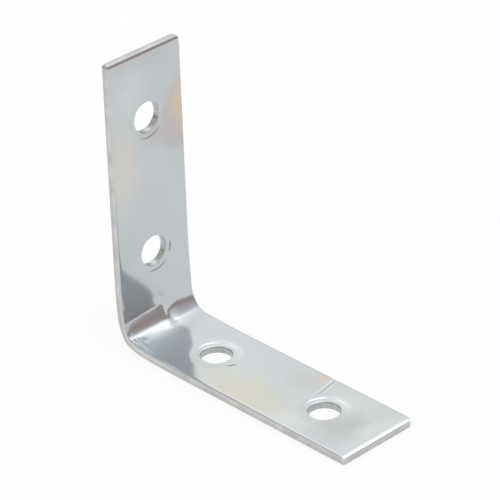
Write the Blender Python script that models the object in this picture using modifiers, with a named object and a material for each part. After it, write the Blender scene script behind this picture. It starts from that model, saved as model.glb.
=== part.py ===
"""Corner brace: a steel strip with four countersunk screw holes, folded once to a right angle.

Metres, +Z up. The brace stands on its level leg, and the origin is the middle of that leg's
outer face. Everything is measured from the outer corner, where the planes of the two outer
faces meet at mid width: the level leg runs from it along +X, and the upright leg along +Z.
The outer faces bear on what the brace joins, and the screws go in from inside the angle.
"""

import math

import bmesh
import bpy
from mathutils import Vector

# The strip and its fold
WIDTH = 0.0150
THICKNESS = 0.0014
LEVEL_LEG = 0.0505
UPRIGHT_LEG = 0.0505
INSIDE_BEND_RADIUS = 0.0036

# The screw holes, pierced through and opened to a shallow seat on the inner face
SCREW_HOLE_DIAMETER = 0.0052
SEAT_DIAMETER = 0.0076
SEAT_DEPTH = 0.00015
CORNER_TO_NEAR_HOLE = 0.0150
END_TO_FAR_HOLE = 0.0115

# The sheared edges: rolled over on the inner face, hardly broken on the outer face
EDGE_ROLL = 0.00035
EDGE_BREAK = 0.0001
CORNER_RADIUS = 0.0006

# How finely the round stretches are divided
BEND_STEPS = 20
HOLE_STEPS = 64
EDGE_STEPS = 3
CORNER_STEPS = 5

# Worked out from the sizes above
OUTSIDE_BEND_RADIUS = INSIDE_BEND_RADIUS + THICKNESS
PUNCH_OVERSHOOT = 0.0003
SHARP_ANGLE = math.radians(30)


def clear_scene():
    for existing in list(bpy.data.objects):
        bpy.data.objects.remove(existing, do_unlink=True)


def new_collection(name):
    collection = bpy.data.collections.new(name)
    bpy.context.scene.collection.children.link(collection)
    return collection


def zinc_plated_steel():
    """Bright zinc plate: a pale, faintly blue metal with a soft polish."""
    material = bpy.data.materials.new("zinc_plated_steel")
    material.use_nodes = True
    shader = material.node_tree.nodes["Principled BSDF"]
    shader.inputs["Base Color"].default_value = (0.62, 0.64, 0.66, 1.0)
    shader.inputs["Metallic"].default_value = 1.0
    shader.inputs["Roughness"].default_value = 0.24
    return material


def height_over_outer_face(point):
    """How far a point lies inside the outer face, straight through the strip's thickness."""
    beyond_level = max(OUTSIDE_BEND_RADIUS - point.x, 0.0)
    beyond_upright = max(OUTSIDE_BEND_RADIUS - point.z, 0.0)
    return OUTSIDE_BEND_RADIUS - math.hypot(beyond_level, beyond_upright)


def extrude_edge(bm, edge, offset):
    """Draws an edge along an offset and gives the edge at the far end."""
    drawn = bmesh.ops.extrude_edge_only(bm, edges=[edge])["geom"]
    new_verts = [item for item in drawn if isinstance(item, bmesh.types.BMVert)]
    bmesh.ops.translate(bm, verts=new_verts, vec=offset)
    return next(item for item in drawn if isinstance(item, bmesh.types.BMEdge)
                and set(item.verts) == set(new_verts))


def draw_side_profile(bm):
    """Sweeps the strip's thickness along the level leg, round the fold and up the upright leg."""
    near_side = -WIDTH / 2
    outer_point = bm.verts.new((LEVEL_LEG, near_side, 0.0))
    inner_point = bm.verts.new((LEVEL_LEG, near_side, THICKNESS))
    thickness_edge = bm.edges.new((outer_point, inner_point))
    to_fold = Vector((OUTSIDE_BEND_RADIUS - LEVEL_LEG, 0.0, 0.0))
    thickness_edge = extrude_edge(bm, thickness_edge, to_fold)
    turned = bmesh.ops.spin(
        bm,
        geom=[thickness_edge, *thickness_edge.verts],
        cent=(OUTSIDE_BEND_RADIUS, near_side, OUTSIDE_BEND_RADIUS),
        axis=(0.0, 1.0, 0.0),
        angle=math.pi / 2,
        steps=BEND_STEPS,
    )["geom_last"]
    thickness_edge = next(item for item in turned if isinstance(item, bmesh.types.BMEdge))
    to_top = Vector((0.0, 0.0, UPRIGHT_LEG - OUTSIDE_BEND_RADIUS))
    extrude_edge(bm, thickness_edge, to_top)


def widen(bm):
    """Extrudes the side profile across the strip's width into a closed solid."""
    drawn = bmesh.ops.extrude_face_region(bm, geom=bm.faces[:])["geom"]
    new_verts = [item for item in drawn if isinstance(item, bmesh.types.BMVert)]
    bmesh.ops.translate(bm, verts=new_verts, vec=(0.0, WIDTH, 0.0))
    bmesh.ops.recalc_face_normals(bm, faces=bm.faces[:])


def round_end_corners(bm):
    """Rounds the two corners of each free end, as the cropping die leaves them."""
    def at_free_end(vert):
        at_level_end = math.isclose(vert.co.x, LEVEL_LEG, abs_tol=1e-6)
        at_upright_end = math.isclose(vert.co.z, UPRIGHT_LEG, abs_tol=1e-6)
        return at_level_end or at_upright_end

    corner_edges = []
    for edge in bm.edges:
        first, second = edge.verts
        along_thickness = math.isclose(first.co.y, second.co.y, abs_tol=1e-6)
        if at_free_end(first) and at_free_end(second) and along_thickness:
            corner_edges.append(edge)
    bmesh.ops.bevel(
        bm,
        geom=corner_edges,
        offset=CORNER_RADIUS,
        segments=CORNER_STEPS,
        profile=0.5,
        affect="EDGES",
    )


def weigh_rims(bm):
    """Weighs the rim of each face for the bevel: the full roll inside, a light break outside."""
    weights = bm.edges.layers.float.new("bevel_weight_edge")
    for edge in bm.edges:
        if edge.calc_face_angle() < SHARP_ANGLE:
            continue
        heights = [height_over_outer_face(vert.co) for vert in edge.verts]
        if min(heights) > THICKNESS * 0.99:
            edge[weights] = 1.0
        elif max(heights) < THICKNESS * 0.01:
            edge[weights] = EDGE_BREAK / EDGE_ROLL


def outer_corner(collection):
    """The point that every size is measured from. It carries the strip and the punches."""
    corner = bpy.data.objects.new("outer_corner", None)
    corner.location = (-LEVEL_LEG / 2, 0.0, 0.0)
    collection.objects.link(corner)
    return corner


def folded_strip(corner, collection):
    """The bare strip, folded and with its edges rolled, before it has any hole."""
    bm = bmesh.new()
    draw_side_profile(bm)
    widen(bm)
    round_end_corners(bm)
    weigh_rims(bm)
    mesh = bpy.data.meshes.new("corner_brace")
    bm.to_mesh(mesh)
    bm.free()
    strip = bpy.data.objects.new("corner_brace", mesh)
    collection.objects.link(strip)
    strip.parent = corner
    rims = strip.modifiers.new("rolled_edges", "BEVEL")
    rims.limit_method = "WEIGHT"
    rims.width = EDGE_ROLL
    rims.segments = EDGE_STEPS
    rims.use_clamp_overlap = False
    return strip


def screw_hole_profile():
    """Half section of the punch: a parallel shank that opens to the conical seat."""
    bore_radius = SCREW_HOLE_DIAMETER / 2
    seat_radius = SEAT_DIAMETER / 2
    seat_slope = (seat_radius - bore_radius) / SEAT_DEPTH
    top_radius = seat_radius + PUNCH_OVERSHOOT * seat_slope
    points = [
        (0.0, PUNCH_OVERSHOOT),
        (top_radius, PUNCH_OVERSHOOT),
        (bore_radius, -SEAT_DEPTH),
        (bore_radius, -THICKNESS - PUNCH_OVERSHOOT),
        (0.0, -THICKNESS - PUNCH_OVERSHOOT),
    ]
    mesh = bpy.data.meshes.new("screw_hole_profile")
    edges = [(index, index + 1) for index in range(len(points) - 1)]
    mesh.from_pydata([(radius, 0.0, height) for radius, height in points], edges, [])
    return mesh


def screw_hole_punch(name, profile, place, turn_to_face, corner, collection):
    """One punch, with its seat level with the inner face and its axis square to the leg."""
    cutter = bpy.data.objects.new(name, profile)
    cutter.parent = corner
    cutter.location = place
    cutter.rotation_euler = (0.0, turn_to_face, 0.0)
    cutter.hide_render = True
    cutter.display_type = "WIRE"
    collection.objects.link(cutter)
    turned = cutter.modifiers.new("turned", "SCREW")
    turned.axis = "Z"
    turned.steps = HOLE_STEPS
    turned.render_steps = HOLE_STEPS
    turned.use_merge_vertices = True
    turned.merge_threshold = 0.00001
    return cutter


def screw_hole_punches(corner, collection):
    """Two holes on the centre line of each leg."""
    profile = screw_hole_profile()
    for position, along in (("near", CORNER_TO_NEAR_HOLE), ("far", LEVEL_LEG - END_TO_FAR_HOLE)):
        place = (along, 0.0, THICKNESS)
        screw_hole_punch(f"level_{position}_hole", profile, place, 0.0, corner, collection)
    for position, along in (("near", CORNER_TO_NEAR_HOLE), ("far", UPRIGHT_LEG - END_TO_FAR_HOLE)):
        place = (THICKNESS, 0.0, along)
        screw_hole_punch(f"upright_{position}_hole", profile, place, math.pi / 2, corner, collection)


def corner_brace():
    pieces = new_collection("corner_brace")
    cutters = new_collection("cutters")
    corner = outer_corner(pieces)
    strip = folded_strip(corner, pieces)
    screw_hole_punches(corner, cutters)
    holes = strip.modifiers.new("screw_holes", "BOOLEAN")
    holes.operation = "DIFFERENCE"
    holes.operand_type = "COLLECTION"
    holes.collection = cutters
    holes.solver = "EXACT"
    strip.data.shade_smooth()
    strip.data.set_sharp_from_angle(angle=SHARP_ANGLE)
    strip.data.materials.append(zinc_plated_steel())


clear_scene()
corner_brace()
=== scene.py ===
import math

import bpy
from mathutils import Matrix, Vector


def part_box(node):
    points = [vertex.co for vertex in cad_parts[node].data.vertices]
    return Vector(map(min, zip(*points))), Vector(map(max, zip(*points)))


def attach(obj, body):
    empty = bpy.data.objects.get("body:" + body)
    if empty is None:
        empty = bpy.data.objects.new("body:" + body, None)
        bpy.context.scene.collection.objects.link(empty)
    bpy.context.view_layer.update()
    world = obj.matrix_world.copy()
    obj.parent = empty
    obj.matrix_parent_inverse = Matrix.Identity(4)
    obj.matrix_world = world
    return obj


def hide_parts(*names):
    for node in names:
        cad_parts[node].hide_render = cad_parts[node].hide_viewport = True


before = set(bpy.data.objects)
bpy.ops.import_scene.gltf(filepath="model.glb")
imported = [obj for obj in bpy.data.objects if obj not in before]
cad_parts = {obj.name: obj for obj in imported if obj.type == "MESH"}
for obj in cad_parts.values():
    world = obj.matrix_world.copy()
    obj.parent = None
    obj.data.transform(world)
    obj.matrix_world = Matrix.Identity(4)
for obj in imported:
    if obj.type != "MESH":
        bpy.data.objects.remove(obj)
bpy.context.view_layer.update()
scene = bpy.context.scene
scene.view_settings.view_transform = "Standard"


# Screw hole

# The strip is pierced four times by a round punch, and each hole is then set down to a shallow
# dished seat on the inner face. This tree gives the flat patch of strip round one hole: rings of
# faces that start as circles at the bore and end as a square that fits the rest of the blank.

hole_radius = 0.0026
hole_patch_half = 0.0050
spokes_per_side = 20
rings_round_hole = 44
# The rings crowd to the bore by this power, and are round over this share of the patch.
ring_crowding = 1.3
round_share = 0.78
patch_weld = 1e-6


def new_tree(name, inputs):
    """Starts a tree with its named inputs, and gives it with the outlets of those inputs."""
    tree = bpy.data.node_groups.new(name, "GeometryNodeTree")
    for kind, label, value in inputs:
        socket = tree.interface.new_socket(label, in_out="INPUT", socket_type=kind)
        if value is not None:
            socket.default_value = value
    tree.interface.new_socket("Geometry", in_out="OUTPUT", socket_type="NodeSocketGeometry")
    return tree, tree.nodes.new("NodeGroupInput").outputs


def put(tree, kind, inputs=(), **settings):
    """Adds one node, with its settings, and its inputs as plain values or as outlets to join."""
    made = tree.nodes.new(kind)
    for name, value in settings.items():
        setattr(made, name, value)
    for socket, value in dict(inputs).items():
        if isinstance(value, bpy.types.NodeSocket):
            tree.links.new(value, made.inputs[socket])
        else:
            made.inputs[socket].default_value = value
    return made


def sum_up(tree, operation, *terms):
    """One step of arithmetic on numbers."""
    return put(tree, "ShaderNodeMath", enumerate(terms), operation=operation).outputs[0]


def aim(tree, operation, *terms):
    """One step of arithmetic on vectors."""
    made = put(tree, "ShaderNodeVectorMath", enumerate(terms), operation=operation)
    return made.outputs["Value" if operation in ("LENGTH", "DOT_PRODUCT") else "Vector"]


def scaled(tree, direction, size):
    """A vector times a number."""
    inputs = {0: direction, "Scale": size}
    return put(tree, "ShaderNodeVectorMath", inputs, operation="SCALE").outputs["Vector"]


def ease(tree, value, start, end, low=0.0, high=1.0, kind="LINEAR"):
    """Takes value from start to end over to low to high, and holds it there outside them."""
    inputs = {"Value": value, "From Min": start, "From Max": end, "To Min": low, "To Max": high}
    return put(tree, "ShaderNodeMapRange", inputs, interpolation_type=kind).outputs[0]


def vector(tree, x, y, z=0.0):
    """A vector from its three parts."""
    return put(tree, "ShaderNodeCombineXYZ", {"X": x, "Y": y, "Z": z}).outputs[0]


def position_axes(tree):
    """The three parts of each point's place."""
    place = put(tree, "GeometryNodeInputPosition").outputs[0]
    return put(tree, "ShaderNodeSeparateXYZ", {0: place}).outputs


hole_patch, given = new_tree("hole_patch", [
    ("NodeSocketFloat", "Hole Radius", hole_radius),
    ("NodeSocketFloat", "Patch Half Side", hole_patch_half),
    ("NodeSocketInt", "Spokes Per Side", spokes_per_side),
    ("NodeSocketInt", "Rings", rings_round_hole),
])
t = hole_patch

# A grid is wrapped round the hole: its length goes along the four sides, its width out from the bore.
unrolled = put(t, "GeometryNodeMeshGrid", {
    "Size X": 4.0,
    "Size Y": 1.0,
    "Vertices X": sum_up(t, "MULTIPLY_ADD", given["Spokes Per Side"], 4.0, 1.0),
    "Vertices Y": sum_up(t, "ADD", given["Rings"], 1.0),
}).outputs["Mesh"]
across, out, _ = position_axes(t)
turned_sides = sum_up(t, "ADD", across, 2.0)
outward = sum_up(t, "ADD", out, 0.5)
side = sum_up(t, "MINIMUM", sum_up(t, "FLOOR", sum_up(t, "ADD", turned_sides, 1e-5)), 3.0)
along_side = sum_up(t, "MULTIPLY_ADD", sum_up(t, "SUBTRACT", turned_sides, side), 2.0, -1.0)
on_square = put(t, "ShaderNodeVectorRotate", {
    "Vector": vector(t, 1.0, along_side),
    "Angle": sum_up(t, "MULTIPLY", side, math.pi / 2),
}, rotation_type="Z_AXIS").outputs[0]
ring_share = sum_up(t, "POWER", outward, ring_crowding)
ring_radius = ease(t, ring_share, 0.0, 1.0, given["Hole Radius"], given["Patch Half Side"])
on_ring = scaled(t, aim(t, "NORMALIZE", on_square), ring_radius)
on_edge = scaled(t, on_square, given["Patch Half Side"])
squared = ease(t, outward, round_share, 1.0, kind="SMOOTHSTEP")
patch_place = put(t, "ShaderNodeMix", {0: squared, 4: on_ring, 5: on_edge}, data_type="VECTOR").outputs[1]
wrapped = put(t, "GeometryNodeSetPosition", {"Geometry": unrolled, "Position": patch_place}).outputs[0]
closed = put(t, "GeometryNodeMergeByDistance", {"Geometry": wrapped, "Distance": patch_weld}).outputs[0]
# Wrapping the grid turned its faces over, so they are turned back to point up as the sheet's do.
facing_up = put(t, "GeometryNodeFlipFaces", {"Mesh": closed}).outputs[0]
put(t, "NodeGroupOutput", {"Geometry": facing_up})


# Pierced blank

# The blank is a straight length of cold rolled steel strip, cropped square at both ends with its
# corners just rounded. It is laid out flat with X along it and Y across it, closely divided where
# the press folds it and where its rims roll over, with a hole patch let in at each hole.

box_low, box_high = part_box("corner_brace")
strip_width = box_high.y - box_low.y
level_leg = box_high.x - box_low.x
strip_thickness = 0.0014
corner_to_near_hole = 0.0150
end_to_far_hole = 0.0115
plan_corner_radius = 0.0006
# How many columns and rows of faces each stretch has, and the powers by which they crowd.
fold_columns = 46
columns_between_holes = 28
end_columns = 24
rim_rows = 12
fold_crowding = 1.5
end_crowding = 1.85
rim_crowding = 2.2
sheet_weld = 2e-6

# The wiping die folds the strip a little more sharply along its near rim than along its far one.
# Each fold is a few stretches of turn that add up: the middle and half length of each along the
# strip, and its share of the turn. The last and longest stretch of each is a slight bow.
near_fold = [
    (-0.0025, 0.00024, 9.5),
    (0.00008, 0.00042, 36.0),
    (0.0024, 0.0012, 5.5),
    (-0.00006, 0.0069, 26.0),
    (-0.0002, 0.0122, 13.4),
]
far_fold = [
    (-0.0019, 0.0015, 23.0),
    (0.00078, 0.0004, 32.0),
    (0.0016, 0.0035, 24.0),
    (-0.0010, 0.0130, 13.0),
]
fold_line_step = 0.0001
fold_line_reach = 0.0600


def turned_at(stretches, along):
    """How far the strip has turned at a distance along it, from 0 on the upright, in radians."""
    turned = 0.0
    for middle, half_length, turn in stretches:
        x = max(-1.0, min(1.0, (along - middle) / half_length))
        turned += turn * (0.5 + (3.0 * x - x ** 3) / 4.0)
    return math.pi / 2 * turned / sum(turn for _, _, turn in stretches)


def folded_line(stretches, shift):
    """The line of the inner face, down the upright and out along the level leg, in even steps."""
    points = [Vector((0.0, 0.0, 0.0))]
    for step in range(round(2 * fold_line_reach / fold_line_step)):
        along = -fold_line_reach + (step + 0.5) * fold_line_step
        slope = math.pi / 2 - turned_at(stretches, along - shift)
        points.append(points[-1] + fold_line_step * Vector((math.cos(slope), 0.0, -math.sin(slope))))
    inner_corner = Vector((points[0].x, 0.0, points[-1].z))
    to_place = Vector((strip_thickness - level_leg / 2, 0.0, strip_thickness)) - inner_corner
    return [point + to_place for point in points]


def leg_gains(line):
    """How much longer the fold makes each leg than its share of the strip, level and upright."""
    return line[-1].x + level_leg / 2 - fold_line_reach, line[0].z - fold_line_reach


def centred_line(stretches):
    """The same line, shifted so that both legs gain the same length from the fold."""
    level_gain, upright_gain = leg_gains(folded_line(stretches, 0.0))
    return folded_line(stretches, (level_gain - upright_gain) / 2)


# The far fold is drawn out or in until its legs gain as much as the near fold's do.
near_line = centred_line(near_fold)
far_line = centred_line(far_fold)
fold_allowance = leg_gains(near_line)[0]
even_out = (fold_allowance - strip_thickness) / (leg_gains(far_line)[0] - strip_thickness)
far_fold = [(middle * even_out, half_length * even_out, turn) for middle, half_length, turn in far_fold]
far_line = centred_line(far_fold)
half_blank = level_leg - fold_allowance

blank_sizes = [
    ("NodeSocketFloat", "Width", strip_width),
    ("NodeSocketFloat", "Half Length", half_blank),
    ("NodeSocketFloat", "Near Hole", corner_to_near_hole - fold_allowance),
    ("NodeSocketFloat", "Far Hole", half_blank - end_to_far_hole),
    ("NodeSocketFloat", "Hole Radius", hole_radius),
]
pierced_blank, given = new_tree("pierced_blank", blank_sizes + [
    ("NodeSocketFloat", "Patch Half Side", hole_patch_half),
    ("NodeSocketInt", "Spokes Per Side", spokes_per_side),
    ("NodeSocketInt", "Rings", rings_round_hole),
    ("NodeSocketInt", "Fold Columns", fold_columns),
    ("NodeSocketInt", "Columns Between Holes", columns_between_holes),
    ("NodeSocketInt", "End Columns", end_columns),
    ("NodeSocketInt", "Rim Rows", rim_rows),
    ("NodeSocketFloat", "Corner Radius", plan_corner_radius),
])
t = pierced_blank


def crowded_to_rim(share, power):
    """Takes even steps over to steps that grow short towards the rim."""
    return sum_up(t, "SUBTRACT", 1.0, sum_up(t, "POWER", sum_up(t, "SUBTRACT", 1.0, share), power))


def from_holes(tree, x, given):
    """How far a place along the strip is from its leg's near hole, and from its far one."""
    out = sum_up(tree, "ABSOLUTE", x)
    return [sum_up(tree, "ABSOLUTE", sum_up(tree, "SUBTRACT", out, given[hole]))
            for hole in ("Near Hole", "Far Hole")]


# The grid starts with whole numbers for places: its columns and rows, counted from the middle.
patch_columns = given["Spokes Per Side"]
half_patch_rows = sum_up(t, "MULTIPLY", patch_columns, 0.5)
near_column = given["Fold Columns"]
near_end_column = sum_up(t, "ADD", near_column, patch_columns)
far_column = sum_up(t, "ADD", near_end_column, given["Columns Between Holes"])
far_end_column = sum_up(t, "ADD", far_column, patch_columns)
last_column = sum_up(t, "ADD", far_end_column, given["End Columns"])
last_row = sum_up(t, "ADD", half_patch_rows, given["Rim Rows"])
numbered = put(t, "GeometryNodeMeshGrid", {
    "Size X": sum_up(t, "MULTIPLY", last_column, 2.0),
    "Size Y": sum_up(t, "MULTIPLY", last_row, 2.0),
    "Vertices X": sum_up(t, "MULTIPLY_ADD", last_column, 2.0, 1.0),
    "Vertices Y": sum_up(t, "MULTIPLY_ADD", last_row, 2.0, 1.0),
}).outputs["Mesh"]
column, row, _ = position_axes(t)
column_out = sum_up(t, "ABSOLUTE", column)
row_out = sum_up(t, "ABSOLUTE", row)

# Each column goes to its place along the strip, one stretch after another from the fold to the end.
near_start = sum_up(t, "SUBTRACT", given["Near Hole"], given["Patch Half Side"])
near_end = sum_up(t, "ADD", given["Near Hole"], given["Patch Half Side"])
far_start = sum_up(t, "SUBTRACT", given["Far Hole"], given["Patch Half Side"])
far_end = sum_up(t, "ADD", given["Far Hole"], given["Patch Half Side"])
fold_share = sum_up(t, "POWER", ease(t, column_out, 0.0, near_column), fold_crowding)
along_out = ease(t, fold_share, 0.0, 1.0, 0.0, near_start)
stops = [
    (near_column, near_start),
    (near_end_column, near_end),
    (far_column, far_start),
    (far_end_column, far_end),
]
for (start_column, start), (end_column, end) in zip(stops, stops[1:]):
    stretch = ease(t, column_out, start_column, end_column, start, end)
    along_out = sum_up(t, "ADD", along_out, sum_up(t, "SUBTRACT", stretch, start))
end_share = crowded_to_rim(ease(t, column_out, far_end_column, last_column), end_crowding)
in_end = ease(t, end_share, 0.0, 1.0, far_end, given["Half Length"])
along_out = sum_up(t, "ADD", along_out, sum_up(t, "SUBTRACT", in_end, far_end))

# Each row goes to its place across the strip.
half_width = sum_up(t, "MULTIPLY", given["Width"], 0.5)
in_rows = ease(t, row_out, 0.0, half_patch_rows, 0.0, given["Patch Half Side"])
rim_share = crowded_to_rim(ease(t, row_out, half_patch_rows, last_row), rim_crowding)
rim_width = sum_up(t, "SUBTRACT", half_width, given["Patch Half Side"])
across_out = sum_up(t, "MULTIPLY_ADD", rim_share, rim_width, in_rows)
laid_out = vector(
    t,
    sum_up(t, "MULTIPLY", along_out, sum_up(t, "SIGN", column)),
    sum_up(t, "MULTIPLY", across_out, sum_up(t, "SIGN", row)),
)
sheet = put(t, "GeometryNodeSetPosition", {"Geometry": numbered, "Position": laid_out}).outputs[0]

# Each corner of the blank is rounded by drawing its square rings of points in to circles.
x, y, _ = position_axes(t)
past = []
for axis, reach in ((x, given["Half Length"]), (y, half_width)):
    corner_start = sum_up(t, "SUBTRACT", reach, given["Corner Radius"])
    beyond = sum_up(t, "SUBTRACT", sum_up(t, "ABSOLUTE", axis), corner_start)
    past.append(sum_up(t, "MAXIMUM", beyond, 0.0))
past_both = aim(t, "LENGTH", vector(t, *past))
shrink = sum_up(t, "DIVIDE", sum_up(t, "MAXIMUM", *past), sum_up(t, "MAXIMUM", past_both, 1e-9))
pull = sum_up(t, "SUBTRACT", 1.0, shrink)
drawn_in = [sum_up(t, "MULTIPLY", sum_up(t, "MULTIPLY", beyond, pull),
                   sum_up(t, "MULTIPLY", sum_up(t, "SIGN", axis), -1.0))
            for axis, beyond in zip((x, y), past)]
sheet = put(t, "GeometryNodeSetPosition", {
    "Geometry": sheet,
    "Selection": sum_up(t, "GREATER_THAN", sum_up(t, "MINIMUM", *past), 0.0),
    "Offset": vector(t, *drawn_in),
}).outputs[0]

# The faces under each hole patch come out, and four patches go in.
x, y, _ = position_axes(t)
from_near, from_far = from_holes(t, x, given)
to_hole = sum_up(t, "MAXIMUM", sum_up(t, "MINIMUM", from_near, from_far), sum_up(t, "ABSOLUTE", y))
under_patch = sum_up(t, "LESS_THAN", to_hole, given["Patch Half Side"])
opened = put(t, "GeometryNodeDeleteGeometry", {"Geometry": sheet, "Selection": under_patch},
             domain="FACE").outputs[0]
from_middle = sum_up(t, "SUBTRACT", put(t, "GeometryNodeInputIndex").outputs[0], 1.5)
is_near = sum_up(t, "LESS_THAN", sum_up(t, "ABSOLUTE", from_middle), 1.0)
hole_out = ease(t, is_near, 0.0, 1.0, given["Far Hole"], given["Near Hole"])
hole_centre = vector(t, sum_up(t, "MULTIPLY", hole_out, sum_up(t, "SIGN", from_middle)), 0.0)
centres = put(t, "GeometryNodePoints", {"Count": 4, "Position": hole_centre}).outputs[0]
patch = put(t, "GeometryNodeGroup", node_tree=hole_patch)
for label in ("Hole Radius", "Patch Half Side", "Spokes Per Side", "Rings"):
    t.links.new(given[label], patch.inputs[label])
placed = put(t, "GeometryNodeInstanceOnPoints", {"Points": centres, "Instance": patch.outputs[0]}).outputs[0]
patches = put(t, "GeometryNodeRealizeInstances", {"Geometry": placed}).outputs[0]
joined = put(t, "GeometryNodeJoinGeometry")
for shape in (opened, patches):
    t.links.new(shape, joined.inputs[0])
whole = put(t, "GeometryNodeMergeByDistance", {"Geometry": joined.outputs[0], "Distance": sheet_weld})
put(t, "NodeGroupOutput", {"Geometry": whole.outputs[0]})


# Zinc plate

# Bright electroplated zinc with a clear passivate: a pale metal with a soft polish. The passivate
# is a film thin enough to show faint bands of straw, pink and blue where its thickness changes.

plate_colour = (0.516, 0.547, 0.560)
plate_pale = tuple(1.03 * channel for channel in plate_colour)
straw_film = (0.612, 0.597, 0.568)
amber_film = (0.630, 0.520, 0.410)
rose_film = (0.500, 0.472, 0.468)
cool_film = (0.600, 0.625, 0.632)
pale_straw_film = (0.560, 0.552, 0.480)
smoke_film = (0.474, 0.480, 0.488)
bright_film = (0.592, 0.603, 0.580)
pale_amber_film = (0.575, 0.512, 0.445)

# Each film patch: its middle along and across the strip, its half lengths, colour and strength,
# and the share of its radius where it starts to fade.
film_patches = [
    (-0.0290, -0.0055, 0.0105, 0.0055, straw_film, 1.00, 0.15),
    (-0.0410, -0.0040, 0.0060, 0.0060, cool_film, 0.80, 0.10),
    (-0.0345, 0.0070, 0.0076, 0.0052, rose_film, 0.90, 0.50),
    (-0.0363, 0.0082, 0.0062, 0.0044, amber_film, 1.00, 0.25),
    (-0.0480, 0.0000, 0.0040, 0.0120, rose_film, 0.35, 0.15),
    (-0.0328, 0.0018, 0.0030, 0.0042, rose_film, 0.55, 0.15),
    (0.0235, -0.0050, 0.0135, 0.0068, pale_straw_film, 1.00, 0.15),
    (0.0298, 0.0076, 0.0030, 0.0032, pale_amber_film, 1.00, 0.35),
    (0.0280, 0.0038, 0.0060, 0.0040, rose_film, 0.40, 0.15),
    (0.0413, -0.0018, 0.0054, 0.0070, smoke_film, 0.95, 0.15),
    (0.0480, 0.0005, 0.0044, 0.0110, cool_film, 0.90, 0.30),
    (0.0345, -0.0056, 0.0045, 0.0040, bright_film, 0.80, 0.15),
    (0.0395, 0.0055, 0.0065, 0.0045, bright_film, 0.60, 0.15),
]
film_drift_along = 0.0011
film_drift_across = 0.0009
outer_film_shift = 0.0075

# Between these heights in the thickness the outer face's film gives way to the inner face's.
inner_height = (0.0006, 0.0008)

# Each scratch: where it starts and ends, along and across the strip, its half width and depth.
scratches = [
    ((0.0321, 0.0022), (0.0313, 0.0073), 0.00024, 1.5),
    ((0.0325, 0.0024), (0.0317, 0.0073), 0.00013, 3.0),
    ((0.0329, 0.0032), (0.0321, 0.0073), 0.00020, 1.3),
    ((0.01625, -0.0010), (0.01655, -0.00060), 0.00026, 6.0),
    ((0.01650, -0.0006), (0.01680, -0.00010), 0.00016, 6.0),
    ((0.0195, -0.0062), (0.0205, -0.0060), 0.00010, 1.1),
    ((0.0200, -0.0046), (0.0210, -0.0049), 0.00010, 1.0),
    ((-0.0214, 0.0012), (-0.0206, 0.0003), 0.00006, 0.5),
]
bared_zinc = (0.76, 0.76, 0.76)
deep_scratch = (0.20, 0.20, 0.20)
# Between which depths each of the two tones comes in, and from what strength to what.
bared_depths = (0.6, 1.4, 0.0, 0.75)
deep_depths = (2.0, 3.6, 0.0, 0.85)

ripple_place = (0.0018, -0.0070, 0.0)
ripple_spread = (1.0 / 0.0026, 1.0 / 0.0013, 0.0)

# One unit of relief is this high, and these are the units of each kind of mark.
relief_step = 0.000006
streak_height = 0.10
scratch_height = -2.5
ripple_height = 44.0


def colour_mix(tree, share, low, high):
    """Mixes two colours, each a value or an outlet."""
    low = low if isinstance(low, bpy.types.NodeSocket) else (*low, 1.0)
    high = high if isinstance(high, bpy.types.NodeSocket) else (*high, 1.0)
    return put(tree, "ShaderNodeMix", {0: share, 6: low, 7: high}, data_type="RGBA").outputs[2]


def noise(tree, place, scale, detail=2.0, stretch=(1.0, 1.0, 1.0)):
    """A soft random pattern, from 0 to 1, drawn out along the strip where stretch is small."""
    drawn = aim(tree, "MULTIPLY", place, stretch)
    return put(tree, "ShaderNodeTexNoise", {"Vector": drawn, "Scale": scale, "Detail": detail}).outputs[0]


def varied(tree, pattern, low=0.0, high=1.0, reach=0.2):
    """Takes a random pattern over to low to high, from its reach under the middle to that over it."""
    return ease(tree, pattern, 0.5 - reach, 0.5 + reach, low, high)


def scratch_mask(tree, place, start, end, half_width):
    """1 on the line between two points of the strip, falling to 0 at its half width."""
    run = Vector((end[0] - start[0], end[1] - start[1], 0.0))
    from_start = aim(tree, "SUBTRACT", place, (*start, 0.0))
    flat = aim(tree, "MULTIPLY", from_start, (1.0, 1.0, 0.0))
    share = aim(tree, "DOT_PRODUCT", flat, tuple(run / run.length_squared))
    held = put(tree, "ShaderNodeClamp", {"Value": share}).outputs[0]
    foot = scaled(tree, tuple(run), held)
    away = aim(tree, "LENGTH", aim(tree, "SUBTRACT", flat, foot))
    return ease(tree, away, 0.0, half_width, 1.0, 0.0, kind="SMOOTHSTEP")


def new_plate(name):
    """Starts a metal, and gives it with its tree, its shader and the place on the flat strip."""
    finish = bpy.data.materials.new(name)
    finish.use_nodes = True
    tree = finish.node_tree
    shader = tree.nodes["Principled BSDF"]
    shader.inputs["Metallic"].default_value = 1.0
    place = put(tree, "ShaderNodeAttribute", attribute_name="strip_place").outputs["Vector"]
    return finish, tree, shader, place


def dress_plate(tree, shader, colour, roughness, relief, step):
    """Joins a metal's colour, roughness and relief to its shader."""
    bumped = put(tree, "ShaderNodeBump", {"Height": relief, "Distance": step, "Strength": 1.0}).outputs[0]
    for label, outlet in (("Base Color", colour), ("Roughness", roughness), ("Normal", bumped)):
        tree.links.new(outlet, shader.inputs[label])


face_finish, tree, shader, place = new_plate("zinc_on_rolled_face")
along, across, up = put(tree, "ShaderNodeSeparateXYZ", {0: place}).outputs
is_inner = ease(tree, up, *inner_height)

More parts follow.
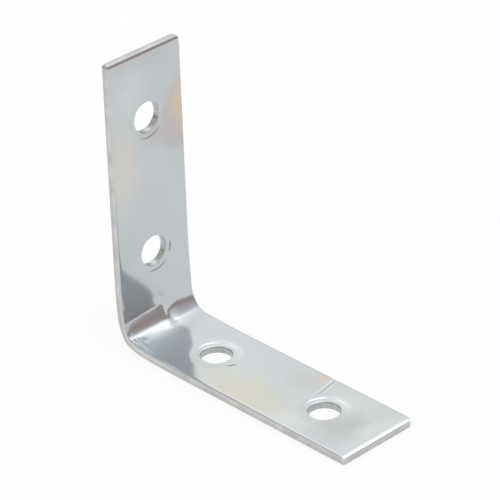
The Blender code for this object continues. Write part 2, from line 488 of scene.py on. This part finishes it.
# The film: its patches have stirred rims, and lie mirrored and shifted on the outer face.
wander_along = noise(tree, place, scale=260.0, detail=3.0)
wander_across = noise(tree, place, scale=310.0, detail=3.0, stretch=(1.0, 1.0, 7.0))
drift = vector(tree, varied(tree, wander_along, -film_drift_along, film_drift_along),
               varied(tree, wander_across, -film_drift_across, film_drift_across))
film_along = sum_up(tree, "ADD", along, ease(tree, is_inner, 0.0, 1.0, outer_film_shift, 0.0))
film_across = sum_up(tree, "MULTIPLY", across, ease(tree, is_inner, 0.0, 1.0, -1.0, 1.0))
stirred = aim(tree, "ADD", vector(tree, film_along, film_across), drift)
clouds = noise(tree, place, scale=90.0)
colour = colour_mix(tree, varied(tree, clouds, reach=0.15), plate_colour, plate_pale)
for middle_along, middle_across, half_long, half_wide, film, strength, full_share in film_patches:
    from_middle = aim(tree, "SUBTRACT", stirred, (middle_along, middle_across, 0.0))
    in_radii = aim(tree, "MULTIPLY", from_middle, (1.0 / half_long, 1.0 / half_wide, 0.0))
    share = ease(tree, aim(tree, "LENGTH", in_radii), 1.0, full_share, 0.0, strength, kind="SMOOTHSTEP")
    colour = colour_mix(tree, share, colour, film)

# The scratches, which are on the inner face only: shallow ones show bare zinc, deep ones are dark.
scratch_depth = 0.0
for start, end, half_width, depth in scratches:
    mask = scratch_mask(tree, place, start, end, half_width)
    scratch_depth = sum_up(tree, "MULTIPLY_ADD", mask, depth, scratch_depth)
scratch_depth = sum_up(tree, "MULTIPLY", scratch_depth, is_inner)
colour = colour_mix(tree, ease(tree, scratch_depth, *bared_depths), colour, bared_zinc)
colour = colour_mix(tree, ease(tree, scratch_depth, *deep_depths), colour, deep_scratch)

# The relief: faint waves and rolling streaks, the scratches, and fine ripples that the press left
# beside the near rim where it goes round the fold.
waves = noise(tree, place, scale=420.0)
streaks = noise(tree, place, scale=2600.0, stretch=(0.03, 1.0, 1.0))
relief = sum_up(tree, "MULTIPLY_ADD", streaks, streak_height, waves)
relief = sum_up(tree, "MULTIPLY_ADD", scratch_depth, scratch_height, relief)
to_ripples = aim(tree, "MULTIPLY", aim(tree, "SUBTRACT", place, ripple_place), ripple_spread)
ripple_share = ease(tree, aim(tree, "LENGTH", to_ripples), 1.0, 0.3, kind="SMOOTHSTEP")
ripples = sum_up(tree, "MULTIPLY", ripple_share,
                 noise(tree, place, scale=2600.0, detail=1.0, stretch=(0.30, 0.8, 1.0)))
relief = sum_up(tree, "MULTIPLY_ADD", ripples, ripple_height, relief)
polish = varied(tree, noise(tree, place, scale=140.0, detail=3.0), 0.11, 0.16)
dress_plate(tree, shader, colour, polish, relief, relief_step)

# On the sheared edges and in the bores the plate lies over torn steel, so it is rougher and darker,
# with fine score marks straight through the thickness. A dark ring at the top lip of each bore is
# painted shade.
edge_shade = (0.55, 0.55, 0.54)
edge_pale = (0.65, 0.65, 0.64)
torn_shade = (0.47, 0.47, 0.47)
bore_shade = (0.40, 0.43, 0.41)
bore_pale = (0.53, 0.56, 0.53)
# The colour of the painted shade at the top lip of each bore.
bore_lip_painted_shade = (0.13, 0.13, 0.13)
bore_half_width = 0.0028
last_bore_end = 0.0420
tear_wander = 0.0012
score_depth = 0.00001
# Heights in the thickness between which the torn edge turns clean, and the painted shade at
# the lip of a bore comes in.
clean_heights = (0.00062, 0.00078)
bore_lip_painted_shade_heights = (0.00115, 0.00130)
bore_lip_painted_shade_strength = 0.75

cut_finish, tree, shader, place = new_plate("zinc_on_sheared_edge")
along, across, up = put(tree, "ShaderNodeSeparateXYZ", {0: place}).outputs
scores = noise(tree, place, scale=1500.0, detail=4.0, stretch=(1.0, 1.0, 0.30))
blotches = noise(tree, place, scale=330.0)
clean_tone = colour_mix(tree, varied(tree, blotches, reach=0.15), edge_shade, edge_pale)
torn_tone = colour_mix(tree, 0.5, clean_tone, torn_shade)
# The punch side of the thickness is sheared clean, and the other side is torn.
wavy_height = sum_up(tree, "MULTIPLY_ADD", sum_up(tree, "SUBTRACT", blotches, 0.5), tear_wander, up)
clean_share = ease(tree, wavy_height, *clean_heights, kind="SMOOTHSTEP")
edge_tone = colour_mix(tree, clean_share, torn_tone, clean_tone)
bore_tone = colour_mix(tree, varied(tree, scores, reach=0.15), bore_shade, bore_pale)
# Painted shade darkens the top lip of each bore.
bore_lip_painted_shade_share = ease(tree, up, *bore_lip_painted_shade_heights, 0.0, bore_lip_painted_shade_strength)
bore_tone = colour_mix(tree, bore_lip_painted_shade_share, bore_tone, bore_lip_painted_shade)
near_middle = sum_up(tree, "LESS_THAN", sum_up(tree, "ABSOLUTE", across), bore_half_width)
before_end = sum_up(tree, "LESS_THAN", sum_up(tree, "ABSOLUTE", along), last_bore_end)
in_bore = sum_up(tree, "MULTIPLY", near_middle, before_end)
cut_tone = colour_mix(tree, in_bore, edge_tone, bore_tone)
dress_plate(tree, shader, cut_tone, varied(tree, scores, 0.28, 0.38), scores, score_depth)


# Corner brace

# The blank is given its thickness, its rims roll over where the cropping die pulled them down,
# and the press folds it once to a right angle. It is one solid piece of zinc plated mild steel.

# Over what width each rim falls away, and how far.
rims = {
    "Side Pull": (0.00060, 0.00003),
    "End Pull": (0.0030, 0.00015),
    "End Lip": (0.00055, 0.00018),
    "Side Roll": (0.00015, 0.00014),
    "End Roll": (0.00006, 0.00008),
    "Bore Lip": (0.00022, 0.000055),
    "Bore Roll": (0.00016, 0.00010),
    "Outer Break": (0.00012, 0.00007),
}
# The seats round the holes, the curl across the fold, and the small marks that the press left at
# the fold: a pinch, a dent beside it, and a stretch where the near rim of the level leg flares.
brace_sizes = {
    "Seat Radius": 0.00378,
    "Seat Step Width": 0.00044,
    "Seat Step Drop": 0.00010,
    "Level Seat Share": 0.72,
    "Seat Cone Drop": 0.00001,
    "Seat Sink Width": 0.0008,
    "Seat Sink Drop": 0.00007,
    "Curl Half Length": 0.0048,
    "Curl Drop": 0.00034,
    "Pinch Along": -0.0013,
    "Pinch Across": 0.0005,
    "Pinch Slant": -0.2,
    "Pinch Half Length": 0.0029,
    "Pinch Near Half": 0.0009,
    "Pinch Far Half": 0.0011,
    "Pinch Rise": 0.00033,
    "Dent Along": -0.0008,
    "Dent Across": 0.0017,
    "Dent Upright Half": 0.0019,
    "Dent Level Half": 0.0023,
    "Dent Half Width": 0.0014,
    "Dent Depth": 0.00026,
    "Flare Along": 0.0022,
    "Flare Full Half": 0.0008,
    "Flare Half Length": 0.0042,
    "Flare Width": 0.0012,
    "Flare Drop": 0.00030,
}
# The layers of the blank, from its outer face up, as shares of its thickness. A point belongs to
# a face of the strip when it is within the last share from it.
layer_shares = [0.22, 0.25, 0.25, 0.28]
skin_share = 0.01
# The power of the curve by which each kind of rim is pulled down.
gentle_pull = 2.4
end_lip_pull = 1.1
bore_lip_pull = 1.2
# The way that the seat punch leans, along and across the strip, and the cosines of the angle from
# it between which the step of the seat comes in.
punch_lean = (-0.85, 0.53, 0.0)
lean_start = 0.15
lean_full = 0.5
# A face is cut metal when its normal rises less than this, and an edge is sharp past this turn.
cut_face_rise = 0.5
sharp_turn = math.radians(40)

# Across the strip, the near fold gives way to the far one fast at first and then slowly. Each
# blend is where it starts and ends across the strip, and its share of the change.
fast_blend = (0.0001, 0.0016, 0.80)
slow_blend = (0.0016, 0.0050, 0.20)

rim_inputs = []
for rim, (width, drop) in rims.items():
    rim_inputs.append(("NodeSocketFloat", rim + " Width", width))
    rim_inputs.append(("NodeSocketFloat", rim + " Drop", drop))
brace_tree, given = new_tree("corner_brace", [
    ("NodeSocketGeometry", "Geometry", None),
    ("NodeSocketObject", "Near Fold Line", None),
    ("NodeSocketObject", "Far Fold Line", None),
    ("NodeSocketFloat", "Fold Reach", fold_line_reach),
    ("NodeSocketFloat", "Thickness", strip_thickness),
    *blank_sizes,
    *rim_inputs,
    *[("NodeSocketFloat", label, size) for label, size in brace_sizes.items()],
    ("NodeSocketMaterial", "Face Finish", None),
    ("NodeSocketMaterial", "Cut Finish", None),
])
t = brace_tree


def rolled_over(distance, rim):
    """How far a face has dropped at a distance from its rim: a quarter of an ellipse."""
    share = ease(t, distance, 0.0, given[rim + " Width"], 1.0, 0.0)
    level = sum_up(t, "SQRT", sum_up(t, "SUBTRACT", 1.0, sum_up(t, "MULTIPLY", share, share)))
    return sum_up(t, "MULTIPLY", sum_up(t, "SUBTRACT", 1.0, level), given[rim + " Drop"])


def pulled_down(distance, rim, power):
    """How far the cropping die has pulled a face down near its rim: gently, and then faster."""
    share = ease(t, distance, 0.0, given[rim + " Width"], 1.0, 0.0)
    return sum_up(t, "MULTIPLY", sum_up(t, "POWER", share, power), given[rim + " Drop"])


def total(terms):
    """The sum of a list of numbers."""
    so_far = terms[0]
    for term in terms[1:]:
        so_far = sum_up(t, "ADD", so_far, term)
    return so_far


def in_halves(offset, before, after):
    """An offset to either side as a share of the half that lies on that side."""
    return sum_up(t, "MAXIMUM", sum_up(t, "DIVIDE", offset, after),
                  sum_up(t, "DIVIDE", offset, sum_up(t, "MULTIPLY", before, -1.0)))


# The flat blank is raised in layers to its thickness, and its underside is closed.
blank = put(t, "GeometryNodeGroup", node_tree=pierced_blank)
for _, label, _ in blank_sizes:
    t.links.new(given[label], blank.inputs[label])
thick, upper_faces = blank.outputs[0], True
for share in layer_shares:
    layer = put(t, "GeometryNodeExtrudeMesh", {
        "Mesh": thick,
        "Selection": upper_faces,
        "Offset": vector(t, 0.0, 0.0, sum_up(t, "MULTIPLY", given["Thickness"], share)),
        "Offset Scale": 1.0,
        "Individual": False,
    }, mode="FACES")
    thick, upper_faces = layer.outputs["Mesh"], layer.outputs["Top"]
underside = put(t, "GeometryNodeFlipFaces", {"Mesh": blank.outputs[0]}).outputs[0]
joined = put(t, "GeometryNodeJoinGeometry")
for shape in (thick, underside):
    t.links.new(shape, joined.inputs[0])
solid = put(t, "GeometryNodeMergeByDistance", {
    "Geometry": joined.outputs[0], "Distance": sheet_weld}).outputs[0]

# While it is still flat, each point keeps its place for the materials, and each face that stands
# upright is noted as cut.
normal_z = put(t, "ShaderNodeSeparateXYZ", {0: put(t, "GeometryNodeInputNormal").outputs[0]}).outputs[2]
cut_faces = put(t, "GeometryNodeCaptureAttribute", {"Geometry": solid}, domain="FACE")
cut_faces.capture_items.new("BOOLEAN", "Cut")
is_upright = sum_up(t, "LESS_THAN", sum_up(t, "ABSOLUTE", normal_z), cut_face_rise)
t.links.new(is_upright, cut_faces.inputs["Cut"])
solid = put(t, "GeometryNodeStoreNamedAttribute", {
    "Geometry": cut_faces.outputs["Geometry"],
    "Name": "strip_place",
    "Value": put(t, "GeometryNodeInputPosition").outputs[0],
}, data_type="FLOAT_VECTOR", domain="POINT").outputs[0]

x, y, z = position_axes(t)
from_near, from_far = from_holes(t, x, given)
from_axis = aim(t, "LENGTH", vector(t, sum_up(t, "MINIMUM", from_near, from_far), y))
from_bore = sum_up(t, "SUBTRACT", from_axis, given["Hole Radius"])
half_width = sum_up(t, "MULTIPLY", given["Width"], 0.5)
from_side = sum_up(t, "SUBTRACT", half_width, sum_up(t, "ABSOLUTE", y))
from_end = sum_up(t, "SUBTRACT", given["Half Length"], sum_up(t, "ABSOLUTE", x))
is_inner = sum_up(t, "GREATER_THAN", z, sum_up(t, "MULTIPLY", given["Thickness"], 1.0 - skin_share))
is_outer = sum_up(t, "LESS_THAN", z, sum_up(t, "MULTIPLY", given["Thickness"], skin_share))

# Each seat is a step down to a shallow cone, in a wider and softer hollow. The punch leans a little,
# so the step is deepest towards the fold and the far rim, and it went less deep on the level leg.
step_foot = sum_up(t, "SUBTRACT", given["Seat Radius"], given["Seat Step Width"])
seat_step = ease(t, from_axis, step_foot, given["Seat Radius"], given["Seat Step Drop"], 0.0,
                 kind="SMOOTHSTEP")
seat_step = sum_up(t, "ADD", seat_step, pulled_down(from_bore, "Bore Lip", bore_lip_pull))
is_near = sum_up(t, "LESS_THAN", from_near, from_far)
nearest = ease(t, is_near, 0.0, 1.0, given["Far Hole"], given["Near Hole"])
out_from_axis = sum_up(t, "SUBTRACT", sum_up(t, "ABSOLUTE", x), nearest)
leaning = aim(t, "DOT_PRODUCT", vector(t, out_from_axis, y), punch_lean)
leaning = sum_up(t, "DIVIDE", leaning, sum_up(t, "MAXIMUM", from_axis, 1e-6))
seat_step = sum_up(t, "MULTIPLY", seat_step, ease(t, leaning, lean_start, lean_full))
on_level = sum_up(t, "GREATER_THAN", x, 0.0)
seat_step = sum_up(t, "MULTIPLY", seat_step, ease(t, on_level, 0.0, 1.0, 1.0, given["Level Seat Share"]))
seat_cone = ease(t, from_axis, given["Hole Radius"], step_foot, given["Seat Cone Drop"], 0.0)
sink_start = sum_up(t, "SUBTRACT", given["Seat Radius"], given["Seat Sink Width"])
sink_end = sum_up(t, "ADD", given["Seat Radius"], given["Seat Sink Width"])
seat_sink = ease(t, from_axis, sink_start, sink_end, given["Seat Sink Drop"], 0.0, kind="SMOOTHSTEP")

inner_drop = total([
    pulled_down(from_side, "Side Pull", gentle_pull),
    pulled_down(from_end, "End Pull", gentle_pull),
    pulled_down(from_end, "End Lip", end_lip_pull),
    rolled_over(from_side, "Side Roll"),
    rolled_over(from_end, "End Roll"),
    rolled_over(from_bore, "Bore Roll"),
    sum_up(t, "ADD", seat_step, seat_cone),
    seat_sink,
])
outer_rise = total([rolled_over(distance, "Outer Break") for distance in (from_side, from_end, from_bore)])
height_change = sum_up(t, "SUBTRACT", sum_up(t, "MULTIPLY", outer_rise, is_outer),
                       sum_up(t, "MULTIPLY", inner_drop, is_inner))
solid = put(t, "GeometryNodeSetPosition", {
    "Geometry": solid, "Offset": vector(t, 0.0, 0.0, height_change)}).outputs[0]

# The fold: each point goes to its place along a line between the two fold lines, and out from it
# to its own height. Across the fold the strip curls, so that its rims fall back a little.
x, y, z = position_axes(t)
along_line = sum_up(t, "ADD", x, given["Fold Reach"])
start, end, share = fast_blend
fast = ease(t, y, start, end, 0.0, share, kind="SMOOTHSTEP")
start, end, share = slow_blend
farther = sum_up(t, "ADD", fast, ease(t, y, start, end, 0.0, share))
near_place, far_place = [
    put(t, "GeometryNodeSampleCurve", {
        "Curves": put(t, "GeometryNodeObjectInfo", {"Object": given[label]}).outputs["Geometry"],
        "Length": along_line,
    }, mode="LENGTH").outputs
    for label in ("Near Fold Line", "Far Fold Line")
]
on_line, tangent = [
    put(t, "ShaderNodeMix", {0: farther, 4: near_place[label], 5: far_place[label]},
        data_type="VECTOR").outputs[1]
    for label in ("Position", "Tangent")
]
ahead = put(t, "ShaderNodeSeparateXYZ", {0: tangent}).outputs
face_out = aim(t, "NORMALIZE", vector(t, sum_up(t, "MULTIPLY", ahead[2], -1.0), 0.0, ahead[0]))
out_share = sum_up(t, "DIVIDE", y, half_width)
curl = sum_up(t, "MULTIPLY", sum_up(t, "MULTIPLY", out_share, out_share), given["Curl Drop"])
in_curl = ease(t, sum_up(t, "ABSOLUTE", x), 0.0, given["Curl Half Length"], 1.0, 0.0, kind="SMOOTHSTEP")
curl = sum_up(t, "MULTIPLY", curl, in_curl)

# Where the near half of the fold meets the far half, the metal is pinched up in a small ridge.
pinch_along = sum_up(t, "DIVIDE", sum_up(t, "SUBTRACT", x, given["Pinch Along"]), given["Pinch Half Length"])
slanted = sum_up(t, "MULTIPLY_ADD", x, given["Pinch Slant"], y)
pinch_across = in_halves(sum_up(t, "SUBTRACT", slanted, given["Pinch Across"]),
                         given["Pinch Near Half"], given["Pinch Far Half"])
from_pinch = aim(t, "LENGTH", vector(t, pinch_along, pinch_across))
pinch = ease(t, from_pinch, 0.0, 1.0, given["Pinch Rise"], 0.0, kind="SMOOTHSTEP")

# Beside the pinch, towards the far rim, it is dented.
dent_along = in_halves(sum_up(t, "SUBTRACT", x, given["Dent Along"]),
                       given["Dent Upright Half"], given["Dent Level Half"])
dent_across = sum_up(t, "DIVIDE", sum_up(t, "SUBTRACT", y, given["Dent Across"]), given["Dent Half Width"])
from_dent = aim(t, "LENGTH", vector(t, dent_along, dent_across))
dent = ease(t, from_dent, 0.0, 1.0, given["Dent Depth"], 0.0, kind="SMOOTHSTEP")

# Beside the fold, the near rim of the level leg flares: it falls away a little more.
from_flare = sum_up(t, "ABSOLUTE", sum_up(t, "SUBTRACT", x, given["Flare Along"]))
flare = ease(t, from_flare, given["Flare Full Half"], given["Flare Half Length"], given["Flare Drop"], 0.0,
             kind="SMOOTHSTEP")
in_flare = ease(t, sum_up(t, "ADD", y, half_width), 0.0, given["Flare Width"], 1.0, 0.0, kind="SMOOTHSTEP")
flare = sum_up(t, "MULTIPLY", flare, in_flare)

marks = sum_up(t, "SUBTRACT", sum_up(t, "ADD", dent, flare), pinch)
fallen = sum_up(t, "ADD", curl, sum_up(t, "MULTIPLY", marks, is_inner))
above_line = sum_up(t, "SUBTRACT", sum_up(t, "SUBTRACT", z, given["Thickness"]), fallen)
folded_place = aim(t, "ADD", aim(t, "ADD", on_line, scaled(t, face_out, above_line)), vector(t, 0.0, y))
folded = put(t, "GeometryNodeSetPosition", {"Geometry": solid, "Position": folded_place}).outputs[0]
folded = put(t, "GeometryNodeRealizeInstances", {"Geometry": folded}).outputs[0]
plated = put(t, "GeometryNodeSetMaterial", {"Geometry": folded, "Material": given["Face Finish"]}).outputs[0]
plated = put(t, "GeometryNodeSetMaterial", {
    "Geometry": plated, "Selection": cut_faces.outputs["Cut"], "Material": given["Cut Finish"]}).outputs[0]
put(t, "NodeGroupOutput", {"Geometry": plated})

fold_lines = []
for name, points in (("near_fold_line", near_line), ("far_fold_line", far_line)):
    curve = bpy.data.curves.new(name, "CURVE")
    curve.dimensions = "3D"
    spline = curve.splines.new("POLY")
    spline.points.add(len(points) - 1)
    for held, point in zip(spline.points, points):
        held.co = (*point, 1.0)
    fold_lines.append(bpy.data.objects.new(name, curve))
    scene.collection.objects.link(fold_lines[-1])

raw = bpy.data.objects.new("corner_brace_raw", bpy.data.meshes.new("corner_brace_raw"))
scene.collection.objects.link(raw)
press = raw.modifiers.new("press", "NODES")
press.node_group = brace_tree
settings = {"Near Fold Line": fold_lines[0], "Far Fold Line": fold_lines[1],
            "Face Finish": face_finish, "Cut Finish": cut_finish}
for item in brace_tree.interface.items_tree:
    if item.item_type == "SOCKET" and item.in_out == "INPUT" and item.name in settings:
        press[item.identifier] = settings[item.name]
bpy.context.view_layer.update()
depsgraph = bpy.context.evaluated_depsgraph_get()
brace_mesh = bpy.data.meshes.new_from_object(raw.evaluated_get(depsgraph))
brace_mesh.name = "zinc_corner_brace"
raw.modifiers.remove(press)
for spent in (raw, *fold_lines):
    bpy.data.objects.remove(spent, do_unlink=True)
brace_mesh.shade_smooth()
brace_mesh.set_sharp_from_angle(angle=sharp_turn)
brace = bpy.data.objects.new("zinc_corner_brace", brace_mesh)
scene.collection.objects.link(brace)
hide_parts("corner_brace")
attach(brace, "root")


# Floor

# A wide sheet of matt white board under the brace. The camera and the metal both see it white,
# and it keeps the soft shadow that the brace casts on it.

floor_size = 6
board_colour = (0.97, 0.97, 0.97, 1.0)
# How much of the board the camera and the metal see as plain white light, without a shadow.
glow_share = 0.84

bpy.ops.mesh.primitive_plane_add(size=floor_size, location=(0, 0, 0))
floor = bpy.context.object
floor.name = "floor"
floor_board = bpy.data.materials.new("white_board")
floor_board.use_nodes = True
tree = floor_board.node_tree
tree.nodes.clear()
board = put(tree, "ShaderNodeBsdfDiffuse", {"Color": board_colour}).outputs[0]
glow = put(tree, "ShaderNodeEmission", {"Color": (1.0, 1.0, 1.0, 1.0), "Strength": 1.0}).outputs[0]
ray = put(tree, "ShaderNodeLightPath").outputs
seen = sum_up(tree, "MAXIMUM", ray["Is Camera Ray"], ray["Is Glossy Ray"])
lit_share = sum_up(tree, "MULTIPLY", seen, glow_share)
shown = put(tree, "ShaderNodeMixShader", {0: lit_share, 1: board, 2: glow}).outputs[0]
put(tree, "ShaderNodeOutputMaterial", {"Surface": shown})
floor.data.materials.append(floor_board)


# Studio light

# A soft tent of light: white walls, a brighter panel overhead and one behind to the left, and a
# grey-blue wall to the right that stands on a dark warm skirting. It has no hard lamp.

# The right wall, from the floor up: the sine of each height seen from the brace, and its tone.
skirting = (0.46, 0.355, 0.33)
right_wall = [
    (0.02, (0.60, 0.54, 0.52)),
    (0.16, skirting),
    (0.27, (0.60, 0.54, 0.53)),
    (0.40, (0.78, 0.74, 0.77)),
    (0.50, (0.87, 0.84, 0.88)),
    (0.58, (1.00, 0.97, 1.01)),
    (0.72, (1.26, 1.30, 1.39)),
    (0.82, (1.45, 1.50, 1.58)),
]
left_wall = (1.12, 1.12, 1.11)
front_wall = (0.72, 0.73, 0.74)
# Each panel, as seen from above: its middle, its half sizes and its tone.
panels = [
    ((-0.62, 0.31), (0.25, 0.31), (1.62, 1.63, 1.64)),
    ((-0.06, 0.40), (0.50, 0.32), (2.15, 2.15, 2.15)),
]
brightest = 4.0
# Where one wall turns into the next, how high the skirting goes, and where a panel's light ends.
front_to_left = (0.16, 0.42)
right_to_rest = (0.30, -0.10)
skirting_heights = (0.42, 0.10)
panel_rim = (1.05, 0.30)

tent = bpy.data.worlds.new("light_tent")
scene.world = tent
tent.use_nodes = True
tree = tent.node_tree
tree.nodes.clear()
direction = put(tree, "ShaderNodeTexCoord").outputs["Generated"]
x, y, z = put(tree, "ShaderNodeSeparateXYZ", {0: direction}).outputs

# A ramp holds no tone above 1, so it holds shares of the brightest. Its marks are coloured once
# all of them are in place, because moving one can change their order.
ramp = put(tree, "ShaderNodeValToRGB", {0: z})
ramp_marks = ramp.color_ramp.elements
while len(ramp_marks) < len(right_wall):
    ramp_marks.new(0.5)
for mark, (height, _) in zip(ramp_marks, right_wall):
    mark.position = height
for mark, (_, wall_tone) in zip(ramp_marks, right_wall):
    mark.color = (*(channel / brightest for channel in wall_tone), 1.0)
lit_ramp = scaled(tree, ramp.outputs[0], brightest)

front_or_left = colour_mix(tree, ease(tree, y, *front_to_left, kind="SMOOTHSTEP"), front_wall, left_wall)
tone = colour_mix(tree, ease(tree, x, *right_to_rest, kind="SMOOTHSTEP"), lit_ramp, front_or_left)
low_left = sum_up(tree, "MULTIPLY", ease(tree, z, *skirting_heights, kind="SMOOTHSTEP"),
                  sum_up(tree, "LESS_THAN", x, right_to_rest[0]))
tone = colour_mix(tree, low_left, tone, skirting)
for middle, half_size, panel_tone in panels:
    off = aim(tree, "SUBTRACT", vector(tree, x, y), (*middle, 0.0))
    away = aim(tree, "LENGTH", aim(tree, "DIVIDE", off, (*half_size, 1.0)))
    share = ease(tree, away, *panel_rim, kind="SMOOTHSTEP")
    overhead = sum_up(tree, "MULTIPLY", share, sum_up(tree, "GREATER_THAN", z, 0.0))
    tone = colour_mix(tree, overhead, tone, panel_tone)
ray = put(tree, "ShaderNodeLightPath").outputs
even = sum_up(tree, "MAXIMUM", ray["Is Diffuse Ray"], ray["Is Camera Ray"])
tone = colour_mix(tree, even, tone, (1.0, 1.0, 1.0))
shining = put(tree, "ShaderNodeBackground", {"Color": tone}).outputs[0]
put(tree, "ShaderNodeOutputWorld", {"Surface": shining})


# Camera

# A long lens half a metre from the brace, as a fit to the straight edges of its outline gave it.
# It looks down at about 30 degrees on the inside of the angle.

picture_side = 500
focal_pixels = 3334.0
sensor_width = 36.0
azimuth, elevation, tilt = math.radians(46.688), math.radians(30.087), math.radians(-2.075)
camera_distance = 0.514365
aimed_at = Vector((-0.0028805, 0.001188, 0.02289))

back = Vector((math.sin(azimuth) * math.cos(elevation), -math.cos(azimuth) * math.cos(elevation),
               math.sin(elevation)))
level = Vector((math.cos(azimuth), math.sin(azimuth), 0.0))
over = back.cross(level)
rightward = math.cos(tilt) * level + math.sin(tilt) * over
upward = math.cos(tilt) * over - math.sin(tilt) * level
lens = bpy.data.cameras.new("camera")
lens.sensor_width = sensor_width
lens.lens = focal_pixels / picture_side * sensor_width
lens.clip_start = 0.01
camera = bpy.data.objects.new("camera", lens)
scene.collection.objects.link(camera)
pose = Matrix((rightward, upward, back)).transposed().to_4x4()
pose.translation = aimed_at + back * camera_distance
camera.matrix_world = pose
scene.camera = camera
